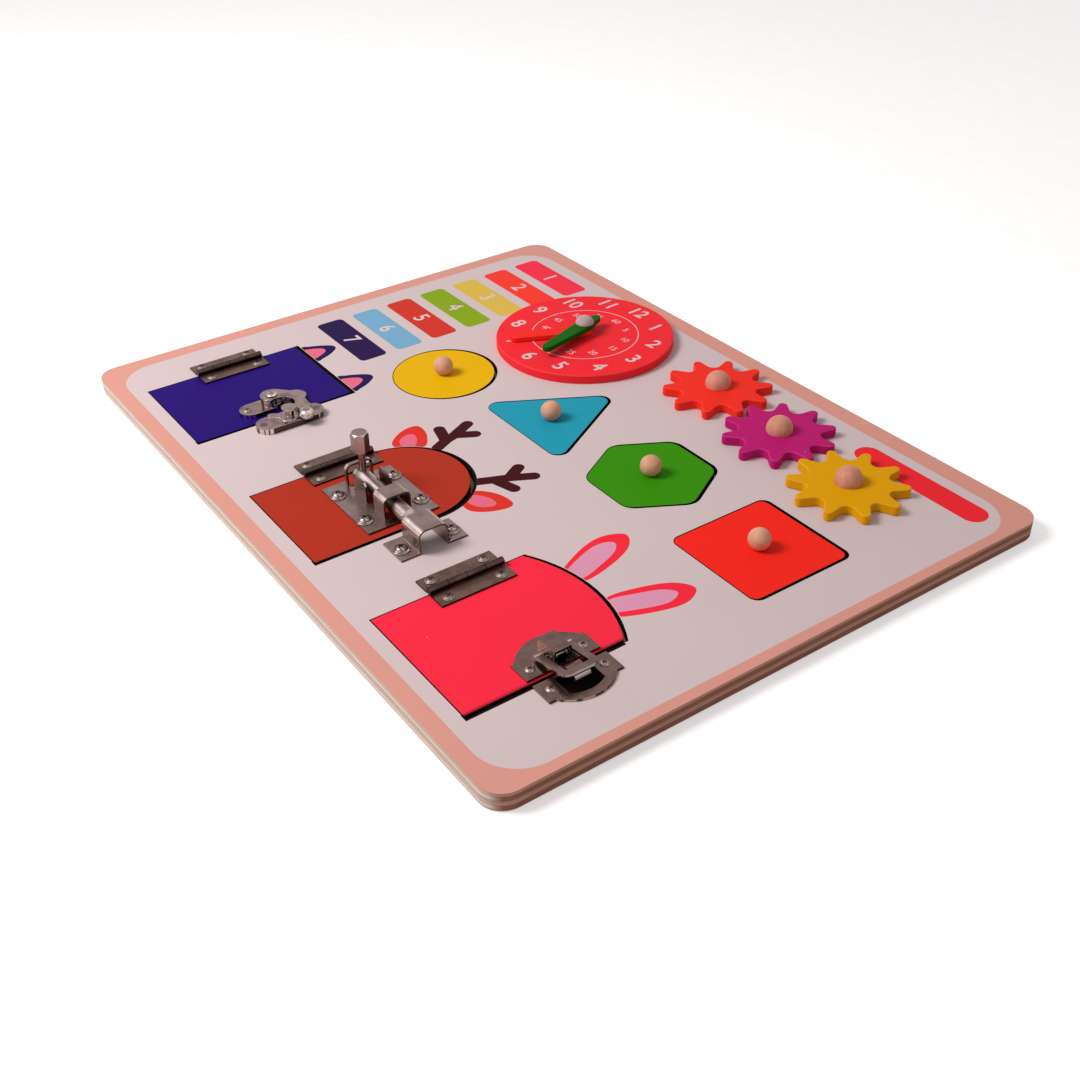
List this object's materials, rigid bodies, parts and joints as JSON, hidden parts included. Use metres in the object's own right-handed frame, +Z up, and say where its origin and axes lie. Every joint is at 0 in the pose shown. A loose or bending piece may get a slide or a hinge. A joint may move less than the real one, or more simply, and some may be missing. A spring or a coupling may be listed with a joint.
{
  "type": "wooden busy board",
  "caption": "Flat wooden busy board for toddlers with a play clock, turning gears, lift-out shape pieces and hinged doors closed by different latches.",
  "frame": {"origin": "middle of the board on the surface that it lies on, at the back face of the backing board", "axes": "+Z up out of the board's front face, +X along its width to the right as its print is read, +Y towards its upper edge"},
  "size_m": [0.4, 0.3, 0.0391],
  "materials": {
    "plywood": "matt plywood, lacquered",
    "printed_panel": "satin print on white lacquered plywood",
    "blue_paint": "satin violet-blue paint on wood",
    "brown_paint": "satin brick-brown paint on wood",
    "pink_paint": "satin pink paint on wood",
    "yellow_paint": "satin yellow paint on wood",
    "teal_paint": "satin teal paint on wood",
    "green_paint": "satin green paint on wood",
    "red_paint": "satin red paint on wood",
    "clock_paint": "satin red paint on wood, white print",
    "orange_paint": "satin orange-red paint on wood",
    "dark_green_paint": "satin green paint on wood",
    "purple_paint": "satin magenta-purple paint on wood",
    "beech": "lacquered beech",
    "pale_wood": "pale lacquered wood",
    "hinge_nickel": "dull nickel plated",
    "screw_steel": "bright nickel plated",
    "cast_nickel": "shiny nickel plated casting",
    "bolt_steel": "bright pressed steel",
    "latch_nickel": "dark nickel plated pressing"
  },
  "bodies": {
    "board": {"backing_board": "plywood", "top_board": "printed_panel", "clock_dial": "clock_paint", "clock_pin": "pale_wood", "red_gear_peg": "beech", "purple_gear_peg": "beech", "yellow_gear_peg": "beech", "blue_hinge_board_leaf": "hinge_nickel", "blue_hinge_pin": "hinge_nickel", "brown_hinge_board_leaf": "hinge_nickel", "brown_hinge_pin": "hinge_nickel", "pink_hinge_board_leaf": "hinge_nickel", "pink_hinge_pin": "hinge_nickel", "hinge_board_screws": "screw_steel", "hook_peg_base": "cast_nickel", "hook_peg_screws": "screw_steel", "bolt_keeper": "bolt_steel", "bolt_keeper_screws": "screw_steel", "catch_plate": "latch_nickel", "catch_screws": "screw_steel"},
    "blue_door": {"blue_door": "blue_paint", "blue_hinge_door_leaf": "hinge_nickel", "blue_hinge_screws": "screw_steel", "hook_base": "cast_nickel", "hook_rivet": "cast_nickel", "hook_base_screws": "screw_steel"},
    "brown_door": {"brown_door": "brown_paint", "brown_hinge_door_leaf": "hinge_nickel", "brown_hinge_screws": "screw_steel", "bolt_plate": "bolt_steel", "bolt_plate_screws": "screw_steel"},
    "pink_door": {"pink_door": "pink_paint", "pink_hinge_door_leaf": "hinge_nickel", "pink_hinge_screws": "screw_steel", "box_latch_plate": "latch_nickel", "box_latch_screws": "screw_steel", "box_latch_pin": "latch_nickel"},
    "hook_arm": {"hook_arm": "cast_nickel"},
    "bolt_rod": {"bolt_rod": "bolt_steel"},
    "bolt_knob": {"bolt_knob": "bolt_steel"},
    "box_latch_lever": {"box_latch_lever": "latch_nickel"},
    "box_latch_link": {"box_latch_link": "latch_nickel"},
    "circle_piece": {"circle_piece": "yellow_paint", "circle_knob": "beech"},
    "triangle_piece": {"triangle_piece": "teal_paint", "triangle_knob": "beech"},
    "hexagon_piece": {"hexagon_piece": "green_paint", "hexagon_knob": "beech"},
    "square_piece": {"square_piece": "red_paint", "square_knob": "beech"},
    "hour_hand": {"hour_hand": "orange_paint"},
    "minute_hand": {"minute_hand": "dark_green_paint"},
    "red_gear": {"red_gear": "red_paint"},
    "purple_gear": {"purple_gear": "purple_paint"},
    "yellow_gear": {"yellow_gear": "yellow_paint"}
  },
  "joints": [
    {"name": "blue_door_hinge", "type": "hinge", "parent": "board", "child": "blue_door", "pos_m": [-0.1615, -0.087, 0.0111], "axis": [0, -1, 0], "range_deg": [0, 120]},
    {"name": "brown_door_hinge", "type": "hinge", "parent": "board", "child": "brown_door", "pos_m": [-0.0336, -0.087, 0.0111], "axis": [0, -1, 0], "range_deg": [0, 120]},
    {"name": "pink_door_hinge", "type": "hinge", "parent": "board", "child": "pink_door", "pos_m": [0.0832, -0.087, 0.0111], "axis": [0, -1, 0], "range_deg": [0, 120]},
    {"name": "hook_arm_pivot", "type": "hinge", "parent": "blue_door", "child": "hook_arm", "pos_m": [-0.1063, -0.087, 0.0133], "axis": [0, 0, 1], "range_deg": [-6, 100]},
    {"name": "bolt_slide", "type": "slide", "parent": "brown_door", "child": "bolt_rod", "axis": [1, 0, 0], "range_m": [0, 0.0175]},
    {"name": "bolt_knob_turn", "type": "hinge", "parent": "bolt_rod", "child": "bolt_knob", "pos_m": [-0.0085, -0.0862, 0.0143], "axis": [-1, 0, 0], "range_deg": [0, 75]},
    {"name": "box_latch_lever_pivot", "type": "hinge", "parent": "pink_door", "child": "box_latch_lever", "pos_m": [0.1512, -0.0864, 0.013], "axis": [0, 1, 0], "range_deg": [0, 80]},
    {"name": "box_latch_link_pivot", "type": "hinge", "parent": "box_latch_lever", "child": "box_latch_link", "pos_m": [0.1464, -0.0864, 0.01205], "axis": [0, 1, 0], "range_deg": [-80, 0]},
    {"name": "circle_piece_lift", "type": "slide", "parent": "board", "child": "circle_piece", "axis": [0, 0, 1], "range_m": [0, 0.03]},
    {"name": "triangle_piece_lift", "type": "slide", "parent": "board", "child": "triangle_piece", "axis": [0, 0, 1], "range_m": [0, 0.03]},
    {"name": "hexagon_piece_lift", "type": "slide", "parent": "board", "child": "hexagon_piece", "axis": [0, 0, 1], "range_m": [0, 0.03]},
    {"name": "square_piece_lift", "type": "slide", "parent": "board", "child": "square_piece", "axis": [0, 0, 1], "range_m": [0, 0.03]},
    {"name": "hour_hand_turn", "type": "hinge", "parent": "board", "child": "hour_hand", "pos_m": [-0.0668, 0.088, 0.014], "axis": [0, 0, 1], "continuous": true},
    {"name": "minute_hand_turn", "type": "hinge", "parent": "board", "child": "minute_hand", "pos_m": [-0.0668, 0.088, 0.014], "axis": [0, 0, 1], "continuous": true},
    {"name": "red_gear_turn", "type": "hinge", "parent": "board", "child": "red_gear", "pos_m": [0.024, 0.1079, 0.009], "axis": [0, 0, 1], "continuous": true},
    {"name": "purple_gear_turn", "type": "hinge", "parent": "board", "child": "purple_gear", "pos_m": [0.07769, 0.10121, 0.009], "axis": [0, 0, 1], "continuous": true},
    {"name": "yellow_gear_turn", "type": "hinge", "parent": "board", "child": "yellow_gear", "pos_m": [0.13137, 0.09453, 0.009], "axis": [0, 0, 1], "continuous": true}
  ],
  "couplings": [
    {"joint": "purple_gear_turn", "follows": "red_gear_turn", "ratio": -1},
    {"joint": "yellow_gear_turn", "follows": "red_gear_turn", "ratio": 1},
    {"joint": "box_latch_link_pivot", "follows": "box_latch_lever_pivot", "ratio": -1}
  ]
}
